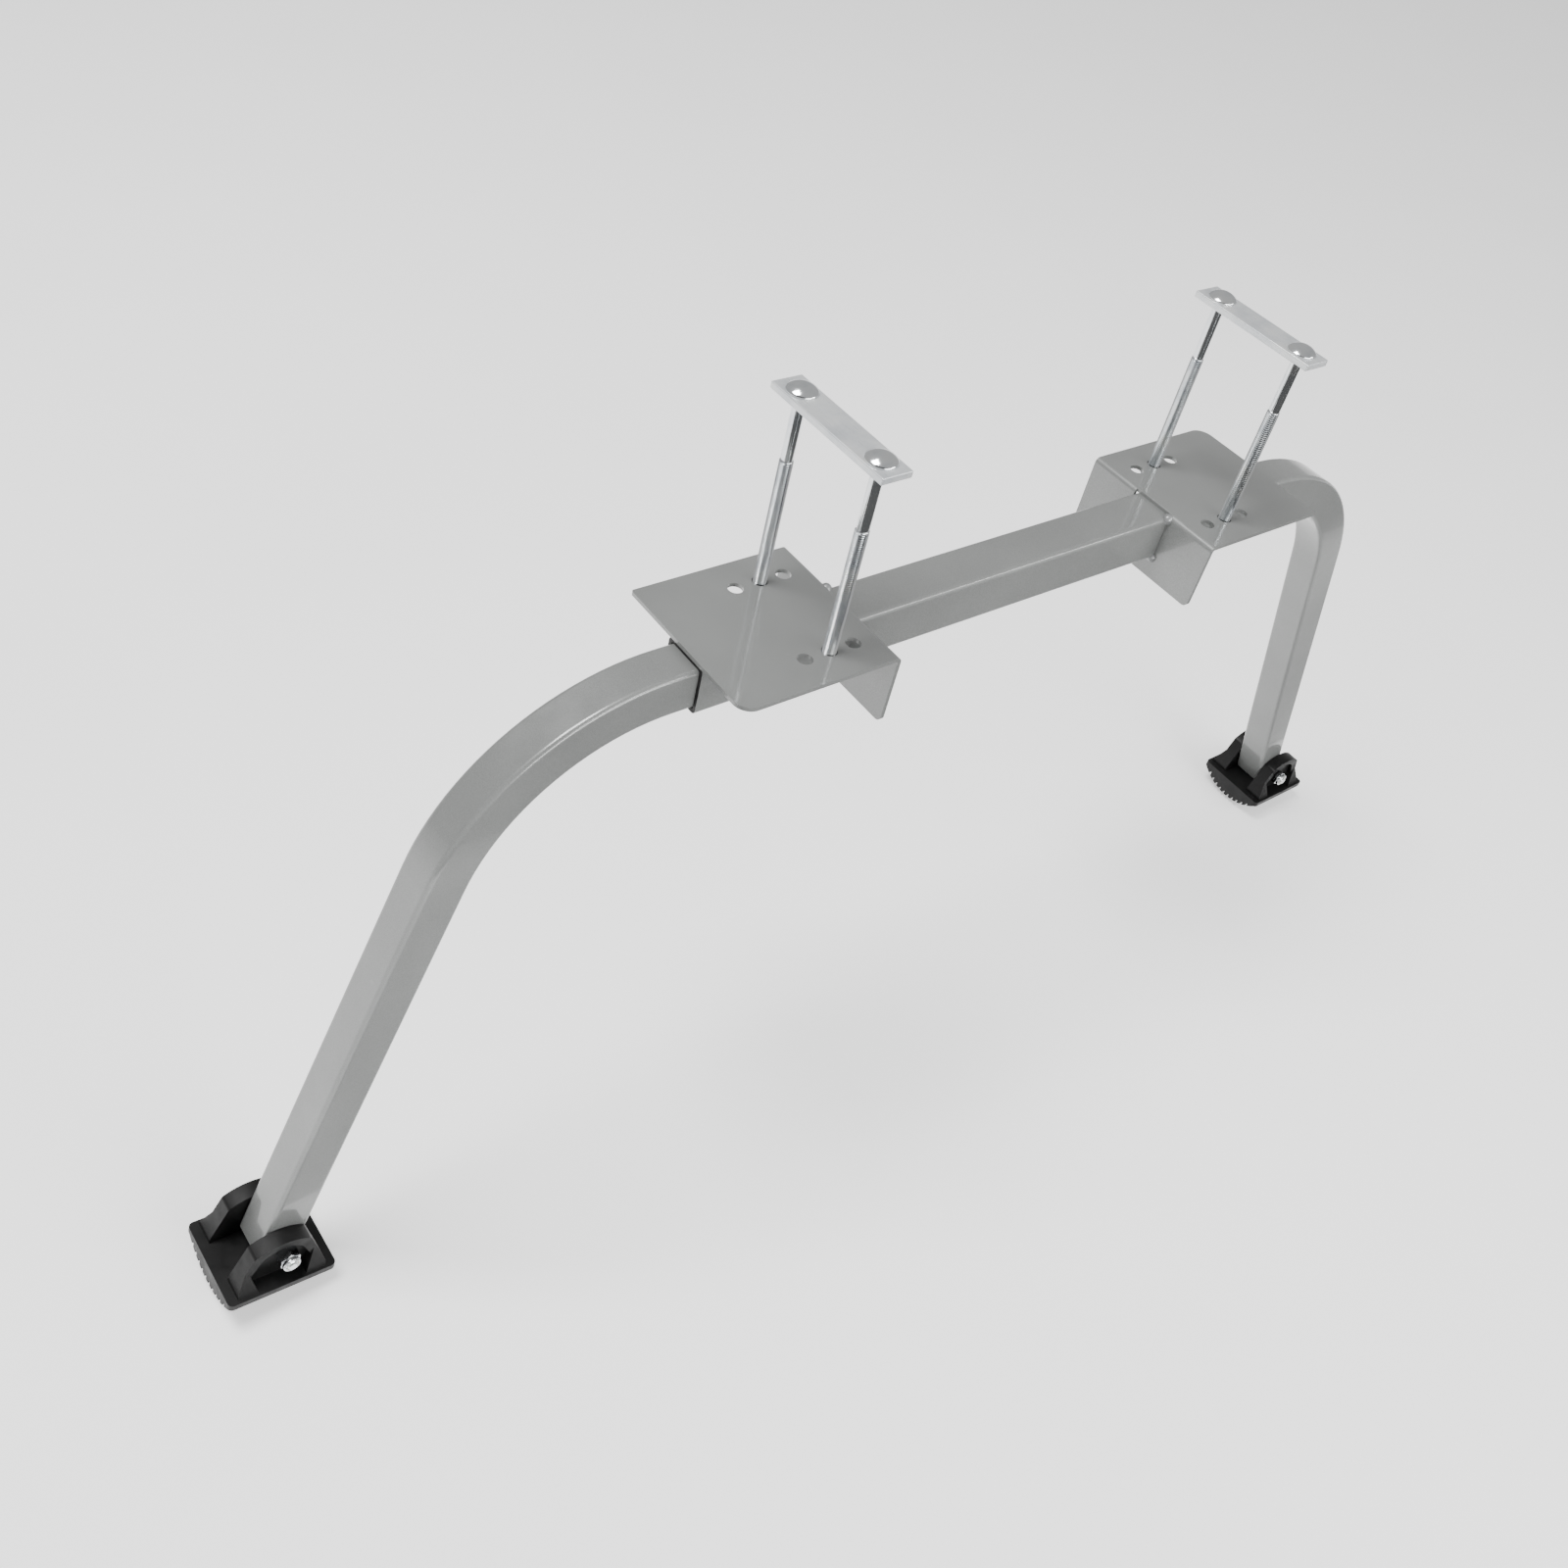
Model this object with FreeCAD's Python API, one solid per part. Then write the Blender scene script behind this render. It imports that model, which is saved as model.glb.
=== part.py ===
import FreeCAD, Part
import math
import os

# Ladder stabilizer: a square centre sleeve with two welded ladder brackets, two bent
# arms that end in swivelling shoes, and a clamp bar on two long bolts over each bracket.
#
# Axes: +X along the sleeve, +Y away from the person on the ladder, +Z from the wall
# towards the ladder. The origin is the middle of the ladder seat: the plane of both
# bracket plates' top faces, half way between the brackets.

V = FreeCAD.Vector
X_AXIS = V(1, 0, 0)
Y_AXIS = V(0, 1, 0)
Z_AXIS = V(0, 0, 1)
ORIGIN = V(0, 0, 0)

# ---- centre sleeve -------------------------------------------------------------------
SLEEVE_SIDE = 38.1
SLEEVE_WALL = 3.05
SLEEVE_CORNER_R = 4.0
SLEEVE_INNER_CORNER_R = 1.4
SLEEVE_HALF_LENGTH = 283.0

# ---- bracket plates ------------------------------------------------------------------
PLATE_T = 3.0
PLATE_INNER_X = 156.0
PLATE_OUTER_X = 284.0
PLATE_HALF_WIDTH = 64.0
FLANGE_DROP = 57.0
BEND_R = 4.5
PLATE_ROUND_CORNER_R = 12.0
PLATE_SQUARE_CORNER_R = 2.0
FLANGE_CORNER_R = 5.0
NOTCH_CLEARANCE = 0.2
NOTCH_INTO_BEND = 2.5
HOLE_R = 5.5
HOLE_PITCH_X = 20.0
HOLE_ROW_Y = 39.0
CLAMP_X = 198.0

# ---- bent arms -----------------------------------------------------------------------
ARM_SIDE = 31.75
ARM_WALL = 2.1
ARM_CORNER_R = 3.5
ARM_INNER_END_X = 133.0
ARM_BEND_START_X = 298.5
ARM_BEND_R = 164.0
ARM_BEND_ANGLE = math.radians(70)
LEG_TO_PIVOT = 343.0
LEG_BELOW_PIVOT = 9.5
ARM_SCREW_X = (185.0, 255.0)

# ---- 3/8 inch fasteners --------------------------------------------------------------
THREAD_R = 4.7625
THREAD_END_CHAMFER = 0.9
SHANK_R = 4.2
DOME_R = 10.7
DOME_HEIGHT = 5.3
DOME_EDGE = 1.0
NECK_SIDE = 9.5
NECK_DEPTH = 5.5
NECK_CORNER_R = 6.2
NUT_ACROSS_FLATS = 14.29
NUT_HEIGHT = 8.33
NUT_BORE_R = 4.80
NUT_CHAMFER_ANGLE = math.radians(30)
WASHER_R = 12.7
WASHER_HOLE_R = 5.55
WASHER_T = 2.1
PIVOT_FIT_R = 4.84

# ---- clamp bars ----------------------------------------------------------------------
BAR_WIDTH = 24.0
BAR_HALF_LENGTH = 55.0
BAR_T = 5.0
BAR_GAP = 140.0
BAR_EDGE_R = 0.8
SQUARE_HOLE_SIDE = 9.9
CLAMP_BOLT_LENGTH = 165.1
CLAMP_THREAD_TOP = 96.0

# ---- shoes, in the shoe's own frame: the pivot axis is Y through the origin ----------
SHOE_HALF_LENGTH = 40.5
SHOE_HALF_WIDTH = 38.0
SHOE_OFFSET_X = 5.0
SHOE_BASE_TOP = -19.0
SHOE_BASE_T = 5.5
SHOE_PLAN_R = 4.0
EAR_INNER_Y = 16.5
EAR_T = 8.0
EAR_CROWN_Z = 21.5
EAR_SHOULDER_Z = 15.0
EAR_FOOT_Z = -15.0
EAR_BASE_HALF = 33.0
EAR_TOP_HALF = 21.0
EAR_CORNER_R = 5.0
RIM_DEPTH = 4.5
RIM_WALL = 6.0
POCKET_CORNER_R = 3.0
GUSSET_TOP_Z = 0.0
GUSSET_TOP_WIDTH = 2.5
GUSSET_FOOT_WIDTH = 15.5
GUSSET_EDGE_MARGIN = 2.0
SOLE_HALF_WIDTH = 36.5
SOLE_END_MARGIN = 0.6
SOLE_SAGITTA = 15.0
TREAD_PITCH = 6.1
TREAD_GROOVE = 2.5
TREAD_DEPTH = 3.6
TREAD_ROOF_MARGIN = 0.3
SHOE_TILT = {"left": 8.0, "right": 0.0}

# ---- shoe pivot bolt and its lock nut ------------------------------------------------
BOLT_STICK_OUT = 4.5
COLLAR_INSET = 0.4
COLLAR_HEIGHT = 3.2
COLLAR_EDGE_R = 1.2
RING_OUTER_R = 6.1
RING_LOW = 0.2
RING_HIGH = 2.6
COLLAR_MOUTH_R = 5.4

# ---- arm screws (1/4 inch, hex washer head) ------------------------------------------
SCREW_R = 3.1
SCREW_HOLE_R = 3.15
SCREW_LENGTH = 16.0
SCREW_HEX = 9.5
SCREW_HEAD_H = 4.5
SCREW_FLANGE_R = 6.6
SCREW_FLANGE_T = 1.2
SCREW_POINT_R = 0.8
SCREW_POINT_LENGTH = 3.5

# ---- welds ---------------------------------------------------------------------------
TACK_R = 4.2
TACK_INSET = 1.0
BEAD_R = 3.2
BEAD_DROP = 2.2
BEAD_SPANS_X = ((-276.0, -246.0), (-200.0, -170.0))

# Cutting tools run this far past the surface that they leave through.
PAST = 1.0

SLEEVE_Z = -PLATE_T - SLEEVE_SIDE / 2
BAR_TOP_Z = BAR_GAP + BAR_T
SIDES = {"left": -1, "right": 1}
ROWS = {"front": -1, "rear": 1}


def save(node, shape):
    """Write one node, after testing that every solid in it is sound."""
    for solid in shape.Solids:
        assert solid.isValid() and solid.Volume > 0, node
    shape.exportStep("parts/" + node + ".step")
    print(node, len(shape.Solids), round(shape.Volume, 1))


def mirrored(shape):
    """The same piece on the other side of the X = 0 plane."""
    return shape.mirror(ORIGIN, X_AXIS)


def half_turn(shape):
    """The same piece turned 180 degrees about the Z axis."""
    turned = shape.copy()
    turned.rotate(ORIGIN, Z_AXIS, 180)
    return turned


def rounded_square_wire(side, radius, centre):
    """A square with round corners, in a plane normal to X."""
    half = side / 2
    flat = half - radius
    slant = radius * math.sqrt(0.5)
    edges = []
    for turn in range(4):
        angle = turn * 90
        start = V(0, -flat, half)
        end = V(0, flat, half)
        middle = V(0, flat + slant, flat + slant)
        after = V(0, half, flat)
        line = Part.LineSegment(start, end).toShape()
        corner = Part.Arc(end, middle, after).toShape()
        for edge in (line, corner):
            edge.rotate(ORIGIN, X_AXIS, -angle)
            edges.append(edge)
    wire = Part.Wire(Part.__sortEdges__(edges))
    wire.translate(centre)
    return wire


def square_bar(side, radius, start_x, end_x, z):
    """A solid bar of rounded square section along X."""
    wire = rounded_square_wire(side, radius, V(start_x, 0, z))
    return Part.Face(wire).extrude(V(end_x - start_x, 0, 0))


def box(x0, x1, y0, y1, z0, z1):
    return Part.makeBox(x1 - x0, y1 - y0, z1 - z0, V(x0, y0, z0))


def cylinder(radius, start, end):
    axis = end - start
    return Part.makeCylinder(radius, axis.Length, start, axis)


def polygon_prism(points, direction):
    """A prism on a closed polygon."""
    wire = Part.makePolygon(points + [points[0]])
    return Part.Face(wire).extrude(direction)


# ---- centre sleeve -------------------------------------------------------------------
def screw_positions(side_sign):
    rear = SLEEVE_SIDE / 2
    return [V(side_sign * x, rear, SLEEVE_Z) for x in ARM_SCREW_X]


def screw_hole(place):
    """A cutter through the rear walls of the sleeve and the arm."""
    return cylinder(SCREW_HOLE_R, place + V(0, PAST, 0), place - V(0, SCREW_LENGTH / 2, 0))


def centre_sleeve():
    length = SLEEVE_HALF_LENGTH
    outer = square_bar(SLEEVE_SIDE, SLEEVE_CORNER_R, -length, length, SLEEVE_Z)
    bore_side = SLEEVE_SIDE - 2 * SLEEVE_WALL
    bore = square_bar(bore_side, SLEEVE_INNER_CORNER_R, -length - PAST, length + PAST, SLEEVE_Z)
    sleeve = outer.cut(bore)
    for sign in SIDES.values():
        for place in screw_positions(sign):
            sleeve = sleeve.cut(screw_hole(place))
    return sleeve


# ---- bracket -------------------------------------------------------------------------
def bent_plate_face():
    """The L section of a left bracket, in the XZ plane at the front edge."""
    inner_r = BEND_R - PLATE_T
    bend_x = -PLATE_INNER_X - BEND_R
    y = -PLATE_HALF_WIDTH
    slant = math.sqrt(0.5)
    top_outer = V(-PLATE_OUTER_X, y, 0)
    top_bend = V(bend_x, y, 0)
    bend_outer_mid = V(bend_x + BEND_R * slant, y, -BEND_R + BEND_R * slant)
    flange_outer_top = V(-PLATE_INNER_X, y, -BEND_R)
    flange_outer_low = V(-PLATE_INNER_X, y, -FLANGE_DROP)
    flange_inner_low = V(-PLATE_INNER_X - PLATE_T, y, -FLANGE_DROP)
    flange_inner_top = V(-PLATE_INNER_X - PLATE_T, y, -BEND_R)
    bend_inner_mid = V(bend_x + inner_r * slant, y, -BEND_R + inner_r * slant)
    under_bend = V(bend_x, y, -PLATE_T)
    under_outer = V(-PLATE_OUTER_X, y, -PLATE_T)
    edges = [
        Part.LineSegment(top_outer, top_bend),
        Part.Arc(top_bend, bend_outer_mid, flange_outer_top),
        Part.LineSegment(flange_outer_top, flange_outer_low),
        Part.LineSegment(flange_outer_low, flange_inner_low),
        Part.LineSegment(flange_inner_low, flange_inner_top),
        Part.Arc(flange_inner_top, bend_inner_mid, under_bend),
        Part.LineSegment(under_bend, under_outer),
        Part.LineSegment(under_outer, top_outer),
    ]
    return Part.Face(Part.Wire([edge.toShape() for edge in edges]))


def plate_hole_places():
    places = []
    for row in ROWS.values():
        for step in (-1, 0, 1):
            places.append((-CLAMP_X + step * HOLE_PITCH_X, row * HOLE_ROW_Y))
    return places


def left_bracket():
    plate = bent_plate_face().extrude(V(0, 2 * PLATE_HALF_WIDTH, 0))
    corner_radii = {-PLATE_HALF_WIDTH: PLATE_ROUND_CORNER_R, PLATE_HALF_WIDTH: PLATE_SQUARE_CORNER_R}
    for y, radius in corner_radii.items():
        corner = [edge for edge in plate.Edges
                  if edge.BoundBox.XMax < -PLATE_OUTER_X + 0.01
                  and abs(edge.BoundBox.YMin - y) < 0.01 and edge.BoundBox.YLength < 0.01]
        plate = plate.makeFillet(radius, corner)
    low_corners = [edge for edge in plate.Edges
                   if edge.BoundBox.ZMax < -FLANGE_DROP + 0.01 and edge.BoundBox.YLength < 0.01]
    plate = plate.makeFillet(FLANGE_CORNER_R, low_corners)
    for x, y in plate_hole_places():
        plate = plate.cut(cylinder(HOLE_R, V(x, y, PAST), V(x, y, -PLATE_T - PAST)))
    notch_half = SLEEVE_SIDE / 2 + NOTCH_CLEARANCE
    notch_low_z = SLEEVE_Z - notch_half
    outside_x = -PLATE_INNER_X + PAST
    notch = box(-PLATE_INNER_X - NOTCH_INTO_BEND, outside_x, -notch_half, notch_half, notch_low_z, PAST)
    window = box(-PLATE_INNER_X - BEND_R, outside_x, -notch_half, notch_half, notch_low_z, -PLATE_T)
    return plate.cut(notch).cut(window)


def left_bracket_welds(bracket):
    """Tack welds at three corners of the sleeve and beads under the plate."""
    half = SLEEVE_SIDE / 2
    tack_offset = half - TACK_INSET
    rough = []
    for y_sign, z_sign in ((1, 1), (-1, -1), (1, -1)):
        corner = V(-PLATE_INNER_X, y_sign * tack_offset, SLEEVE_Z + z_sign * tack_offset)
        rough.append(Part.makeSphere(TACK_R, corner))
    bead_z = -PLATE_T - BEAD_DROP
    for y_sign in ROWS.values():
        for start_x, end_x in BEAD_SPANS_X:
            start = V(start_x, y_sign * (half + TACK_INSET), bead_z)
            end = V(end_x, y_sign * (half + TACK_INSET), bead_z)
            run = cylinder(BEAD_R, start, end)
            rough.append(run.fuse([Part.makeSphere(BEAD_R, start), Part.makeSphere(BEAD_R, end)]))
    sleeve_core = square_bar(SLEEVE_SIDE, SLEEVE_CORNER_R, -SLEEVE_HALF_LENGTH, 0, SLEEVE_Z)
    notch_half = half + NOTCH_CLEARANCE
    behind_flange = box(-PLATE_INNER_X - PLATE_T - 2 * TACK_R, -PLATE_INNER_X, -notch_half, notch_half,
                        SLEEVE_Z - notch_half, SLEEVE_Z + half)
    welds = []
    for weld in rough:
        trimmed = weld.cut(bracket).cut(sleeve_core).cut(behind_flange)
        welds.append(max(trimmed.Solids, key=lambda solid: solid.Volume))
    return Part.makeCompound(welds)


# ---- arm -----------------------------------------------------------------------------
def arm_path():
    """Centre line of the right arm, from inside the sleeve to the end of the leg."""
    start = V(ARM_INNER_END_X, 0, SLEEVE_Z)
    bend_start = V(ARM_BEND_START_X, 0, SLEEVE_Z)
    centre = bend_start - V(0, 0, ARM_BEND_R)

    def on_bend(angle):
        return centre + V(ARM_BEND_R * math.sin(angle), 0, ARM_BEND_R * math.cos(angle))

    bend_end = on_bend(ARM_BEND_ANGLE)
    leg = V(math.cos(ARM_BEND_ANGLE), 0, -math.sin(ARM_BEND_ANGLE))
    foot_end = bend_end + leg * (LEG_TO_PIVOT + LEG_BELOW_PIVOT)
    edges = [
        Part.LineSegment(start, bend_start).toShape(),
        Part.Arc(bend_start, on_bend(ARM_BEND_ANGLE / 2), bend_end).toShape(),
        Part.LineSegment(bend_end, foot_end).toShape(),
    ]
    return Part.Wire(edges), bend_end + leg * LEG_TO_PIVOT


def swept_square(path, side, radius):
    profile = rounded_square_wire(side, radius, V(ARM_INNER_END_X, 0, SLEEVE_Z))
    pipe = Part.BRepOffsetAPI.MakePipeShell(path)
    pipe.add(profile)
    pipe.build()
    pipe.makeSolid()
    return pipe.shape()


def right_arm():
    path, pivot = arm_path()
    outer = swept_square(path, ARM_SIDE, ARM_CORNER_R)
    inner = swept_square(path, ARM_SIDE - 2 * ARM_WALL, ARM_CORNER_R - ARM_WALL)
    arm = outer.cut(inner)
    across = V(0, ARM_SIDE, 0)
    arm = arm.cut(cylinder(PIVOT_FIT_R, pivot - across, pivot + across))
    for place in screw_positions(1):
        arm = arm.cut(screw_hole(place))
    return arm


# ---- fasteners -----------------------------------------------------------------------
def hex_prism(across_flats, height, bore_r):
    """A hexagon along +Z from Z = 0, its corners chamfered at both ends."""
    corner_r = across_flats / math.sqrt(3)
    corners = [V(corner_r * math.cos(math.radians(60 * k + 30)),
                 corner_r * math.sin(math.radians(60 * k + 30)), 0) for k in range(6)]
    body = polygon_prism(corners, V(0, 0, height))
    flat_r = across_flats / 2
    wide_r = flat_r + height / math.tan(NUT_CHAMFER_ANGLE)
    body = body.common(Part.makeCone(flat_r, wide_r, height))
    body = body.common(Part.makeCone(wide_r, flat_r, height))
    if bore_r > 0:
        body = body.cut(cylinder(bore_r, V(0, 0, -PAST), V(0, 0, height + PAST)))
    return body


def carriage_bolt(length, thread_length):
    """Head at the top, its flat underside at Z = 0, the shank down along -Z."""
    rise = DOME_HEIGHT - DOME_EDGE
    dome_arc_r = (DOME_R ** 2 + rise ** 2) / (2 * rise)
    arc_middle_x = DOME_R / 2
    arc_centre_z = DOME_HEIGHT - dome_arc_r
    arc_middle_z = arc_centre_z + math.sqrt(dome_arc_r ** 2 - arc_middle_x ** 2)
    edge_top = V(DOME_R, 0, DOME_EDGE)
    summit = V(0, 0, DOME_HEIGHT)
    profile = Part.Wire([
        Part.LineSegment(ORIGIN, V(DOME_R, 0, 0)).toShape(),
        Part.LineSegment(V(DOME_R, 0, 0), edge_top).toShape(),
        Part.Arc(edge_top, V(arc_middle_x, 0, arc_middle_z), summit).toShape(),
        Part.LineSegment(summit, ORIGIN).toShape(),
    ])
    head = Part.Face(profile).revolve(ORIGIN, Z_AXIS, 360)
    half = NECK_SIDE / 2
    neck = box(-half, half, -half, half, -NECK_DEPTH, 0)
    neck = neck.common(cylinder(NECK_CORNER_R, V(0, 0, -NECK_DEPTH), ORIGIN))
    shank_end = thread_length - length
    shank = cylinder(SHANK_R, V(0, 0, -NECK_DEPTH + PAST), V(0, 0, shank_end - PAST))
    thread = cylinder(THREAD_R, V(0, 0, shank_end), V(0, 0, -length))
    end_edges = [edge for edge in thread.Edges if edge.BoundBox.ZMax < -length + 0.01]
    thread = thread.makeChamfer(THREAD_END_CHAMFER, end_edges)
    return head.fuse([neck, shank, thread]).removeSplitter()


def clamp_bolt(x, y):
    bolt = carriage_bolt(CLAMP_BOLT_LENGTH, CLAMP_THREAD_TOP - BAR_TOP_Z + CLAMP_BOLT_LENGTH)
    bolt.translate(V(x, y, BAR_TOP_Z))
    return bolt


def washer(x, y):
    top = V(x, y, -PLATE_T)
    low = top - V(0, 0, WASHER_T)
    return cylinder(WASHER_R, low, top).cut(cylinder(WASHER_HOLE_R, low, top))


def clamp_nut(x, y):
    nut = hex_prism(NUT_ACROSS_FLATS, NUT_HEIGHT, NUT_BORE_R)
    nut.translate(V(x, y, -PLATE_T - WASHER_T - NUT_HEIGHT))
    return nut


def clamp_bar(x):
    half_w = BAR_WIDTH / 2
    bar = box(x - half_w, x + half_w, -BAR_HALF_LENGTH, BAR_HALF_LENGTH, BAR_GAP, BAR_TOP_Z)
    bar = bar.makeFillet(BAR_EDGE_R, bar.Edges)
    half = SQUARE_HOLE_SIDE / 2
    for row in ROWS.values():
        y = row * HOLE_ROW_Y
        bar = bar.cut(box(x - half, x + half, y - half, y + half, BAR_GAP - PAST, BAR_TOP_Z + PAST))
    return bar


def arm_screw(place):
    """Hex washer head outside the rear wall, point inside the arm."""
    flange = cylinder(SCREW_FLANGE_R, ORIGIN, V(0, 0, SCREW_FLANGE_T))
    head = hex_prism(SCREW_HEX, SCREW_HEAD_H, 0)
    shank = cylinder(SCREW_R, ORIGIN, V(0, 0, -SCREW_LENGTH))
    point = Part.makeCone(SCREW_R, SCREW_POINT_R, SCREW_POINT_LENGTH, V(0, 0, -SCREW_LENGTH), -Z_AXIS)
    screw = flange.fuse([head, shank, point]).removeSplitter()
    screw.rotate(ORIGIN, X_AXIS, -90)
    screw.translate(place)
    return screw


# ---- shoe ----------------------------------------------------------------------------
def ear_face(grow, y):
    """The ear's front view over the middle of the base, grown outwards by `grow`."""
    base = EAR_BASE_HALF + grow
    top = EAR_TOP_HALF + grow
    shoulder_z = EAR_SHOULDER_Z + grow
    outline = [(top, shoulder_z), (base, EAR_FOOT_Z), (base, SHOE_BASE_TOP - PAST),
               (-base, SHOE_BASE_TOP - PAST), (-base, EAR_FOOT_Z), (-top, shoulder_z)]
    points = [V(SHOE_OFFSET_X + x, y, z) for x, z in outline]
    crown = Part.Arc(points[-1], V(SHOE_OFFSET_X, y, EAR_CROWN_Z + grow), points[0]).toShape()
    sides = [Part.LineSegment(a, b).toShape() for a, b in zip(points, points[1:])]
    return Part.Face(Part.Wire([crown] + sides))


def ear_prism(grow, y0, y1, corner_r):
    prism = ear_face(grow, y0).extrude(V(0, y1 - y0, 0))
    shoulders = [edge for edge in prism.Edges
                 if edge.BoundBox.YLength > abs(y1 - y0) - 0.01 and edge.BoundBox.ZMin > 0]
    return prism.makeFillet(corner_r, shoulders)


def gusset(outer_y, rim_y):
    """A web at the ear's outer edge that widens inwards and forwards down to the base."""
    foot_z = SHOE_BASE_TOP - PAST
    foot_y = GUSSET_EDGE_MARGIN - SHOE_HALF_WIDTH
    slope = (EAR_BASE_HALF - EAR_TOP_HALF) / (EAR_SHOULDER_Z - EAR_FOOT_Z)
    top_x = EAR_TOP_HALF + slope * (EAR_SHOULDER_Z - GUSSET_TOP_Z)
    side_view = [V(0, outer_y, foot_z), V(0, foot_y, foot_z), V(0, rim_y, GUSSET_TOP_Z),
                 V(0, outer_y, GUSSET_TOP_Z)]
    front_view = [V(EAR_BASE_HALF - GUSSET_FOOT_WIDTH, outer_y, foot_z), V(EAR_BASE_HALF, outer_y, foot_z),
                  V(EAR_BASE_HALF, outer_y, EAR_FOOT_Z), V(top_x, outer_y, GUSSET_TOP_Z),
                  V(top_x - GUSSET_TOP_WIDTH, outer_y, GUSSET_TOP_Z)]
    across = polygon_prism(side_view, V(EAR_BASE_HALF, 0, 0))
    return across.common(polygon_prism(front_view, V(0, foot_y - outer_y, 0)))


def front_ear():
    """A plate beside the leg, an outstanding rim round its nut pocket and two gussets."""
    outer_y = -EAR_INNER_Y - EAR_T
    rim_y = outer_y - RIM_DEPTH
    plate = ear_prism(0, -EAR_INNER_Y, outer_y, EAR_CORNER_R)
    rim = ear_prism(0, outer_y, rim_y, EAR_CORNER_R)
    pocket = ear_prism(-RIM_WALL, outer_y, rim_y - PAST, POCKET_CORNER_R)
    right_gusset = gusset(outer_y, rim_y)
    left_gusset = right_gusset.mirror(ORIGIN, X_AXIS)
    for web in (left_gusset, right_gusset):
        web.translate(V(SHOE_OFFSET_X, 0, 0))
    return plate.fuse([rim.cut(pocket), left_gusset, right_gusset])


def shoe_sole():
    """A convex tread pad: an arc section along X, slotted upwards to leave ribs."""
    chord_z = SHOE_BASE_TOP - SHOE_BASE_T
    roof_z = chord_z + PAST
    arc_r = (SOLE_HALF_WIDTH ** 2 + SOLE_SAGITTA ** 2) / (2 * SOLE_SAGITTA)
    centre_z = chord_z - SOLE_SAGITTA + arc_r
    x0 = SHOE_OFFSET_X - SHOE_HALF_LENGTH + SOLE_END_MARGIN
    length = 2 * (SHOE_HALF_LENGTH - SOLE_END_MARGIN)
    front_low = V(x0, -SOLE_HALF_WIDTH, chord_z)
    rear_low = V(x0, SOLE_HALF_WIDTH, chord_z)
    front_high = V(x0, -SOLE_HALF_WIDTH, roof_z)
    rear_high = V(x0, SOLE_HALF_WIDTH, roof_z)
    section = Part.Wire([
        Part.Arc(front_low, V(x0, 0, chord_z - SOLE_SAGITTA), rear_low).toShape(),
        Part.LineSegment(rear_low, rear_high).toShape(),
        Part.LineSegment(rear_high, front_high).toShape(),
        Part.LineSegment(front_high, front_low).toShape(),
    ])
    sole = Part.Face(section).extrude(V(length, 0, 0))
    groove_count = int(SOLE_HALF_WIDTH / TREAD_PITCH)
    for k in range(-groove_count, groove_count):
        y = (k + 0.5) * TREAD_PITCH
        surface_z = centre_z - math.sqrt(arc_r ** 2 - y ** 2)
        groove_top_z = min(surface_z + TREAD_DEPTH, chord_z - TREAD_ROOF_MARGIN)
        sole = sole.cut(box(x0 - PAST, x0 + length + PAST, y - TREAD_GROOVE / 2, y + TREAD_GROOVE / 2,
                            centre_z - arc_r - PAST, groove_top_z))
    return sole


def shoe():
    """One moulding, with a square hole in both ears so that it fits either way round."""
    base = box(SHOE_OFFSET_X - SHOE_HALF_LENGTH, SHOE_OFFSET_X + SHOE_HALF_LENGTH,
               -SHOE_HALF_WIDTH, SHOE_HALF_WIDTH, SHOE_BASE_TOP - SHOE_BASE_T, SHOE_BASE_TOP)
    upright = [edge for edge in base.Edges if edge.BoundBox.ZLength > SHOE_BASE_T - 0.01]
    base = base.makeFillet(SHOE_PLAN_R, upright)
    ear = front_ear()
    rear_ear = ear.mirror(ORIGIN, Y_AXIS)
    body = base.fuse([ear, rear_ear, shoe_sole()])
    half = SQUARE_HOLE_SIDE / 2
    neck_holes = box(-half, half, -SHOE_HALF_WIDTH, SHOE_HALF_WIDTH, -half, half)
    return body.cut(neck_holes).removeSplitter()


def shoe_hardware():
    """Pivot bolt with its head at the rear, lock nut and nylon ring at the front."""
    rear_face = EAR_INNER_Y + EAR_T
    length = 2 * rear_face + NUT_HEIGHT + BOLT_STICK_OUT
    bolt = carriage_bolt(length, length - NECK_DEPTH)
    bolt.rotate(ORIGIN, X_AXIS, -90)
    bolt.translate(V(0, rear_face, 0))

    collar_top = NUT_HEIGHT + COLLAR_HEIGHT
    collar_r = NUT_ACROSS_FLATS / 2 - COLLAR_INSET
    collar = cylinder(collar_r, V(0, 0, NUT_HEIGHT / 2), V(0, 0, collar_top))
    collar = collar.makeFillet(COLLAR_EDGE_R, [edge for edge in collar.Edges
                                               if edge.BoundBox.ZMin > collar_top - 0.01])
    ring_seat = cylinder(RING_OUTER_R, V(0, 0, NUT_HEIGHT + RING_LOW), V(0, 0, NUT_HEIGHT + RING_HIGH))
    mouth = cylinder(COLLAR_MOUTH_R, V(0, 0, NUT_HEIGHT), V(0, 0, collar_top + PAST))
    bore = cylinder(NUT_BORE_R, V(0, 0, -PAST), V(0, 0, collar_top))
    nut = hex_prism(NUT_ACROSS_FLATS, NUT_HEIGHT, 0).fuse(collar).removeSplitter()
    nut = nut.cut(ring_seat).cut(mouth).cut(bore)
    ring = ring_seat.cut(bore)
    for piece in (nut, ring):
        piece.rotate(ORIGIN, X_AXIS, 90)
        piece.translate(V(0, -rear_face, 0))
    return bolt, nut, ring


def placed_on_leg(shape, side, pivot):
    """Tilt a shoe piece about its pivot and move it to the end of that side's leg."""
    sign = SIDES[side]
    placed = shape.copy()
    placed.rotate(ORIGIN, Y_AXIS, -sign * SHOE_TILT[side])
    placed.translate(V(sign * pivot.x, 0, pivot.z))
    return placed


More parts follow.
